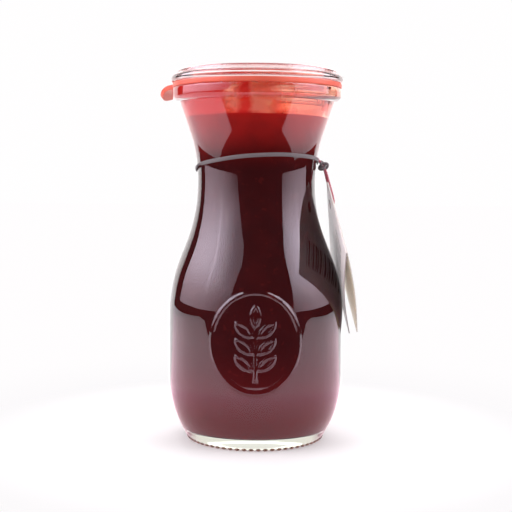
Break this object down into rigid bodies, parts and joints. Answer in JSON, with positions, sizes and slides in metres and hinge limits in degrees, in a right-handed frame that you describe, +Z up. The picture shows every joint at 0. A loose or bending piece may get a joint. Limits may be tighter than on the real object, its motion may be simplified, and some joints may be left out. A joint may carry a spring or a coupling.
{
  "type": "glass sauce bottle with a glass lid",
  "caption": "Waisted glass bottle filled with fruit sauce, closed by a glass lid on a rubber ring, with a folded card tag hung from an elastic band on its neck.",
  "frame": {"origin": "on the bottle's axis, in the plane of the flat ring that its foot stands on", "axes": "+Z up along the bottle's axis, -Y towards the front with the raised emblem, +X towards the side with the tag"},
  "size_m": [0.0781, 0.0684, 0.1419],
  "materials": {
    "clear_glass": "clear pressed and blown glass, glossy",
    "fruit_sauce": null,
    "red_rubber": "smooth orange-red preserving rubber, satin",
    "grey_elastic": "grey fabric-covered elastic",
    "red_string": "twisted dark red string",
    "card": "uncoated cream card, matte"
  },
  "bodies": {
    "root": {"bottle": "clear_glass", "sauce": "fruit_sauce", "rubber_ring": "red_rubber", "lid": "clear_glass", "neck_band": "grey_elastic", "tag_string": "red_string", "tag": "card"}
  },
  "joints": []
}
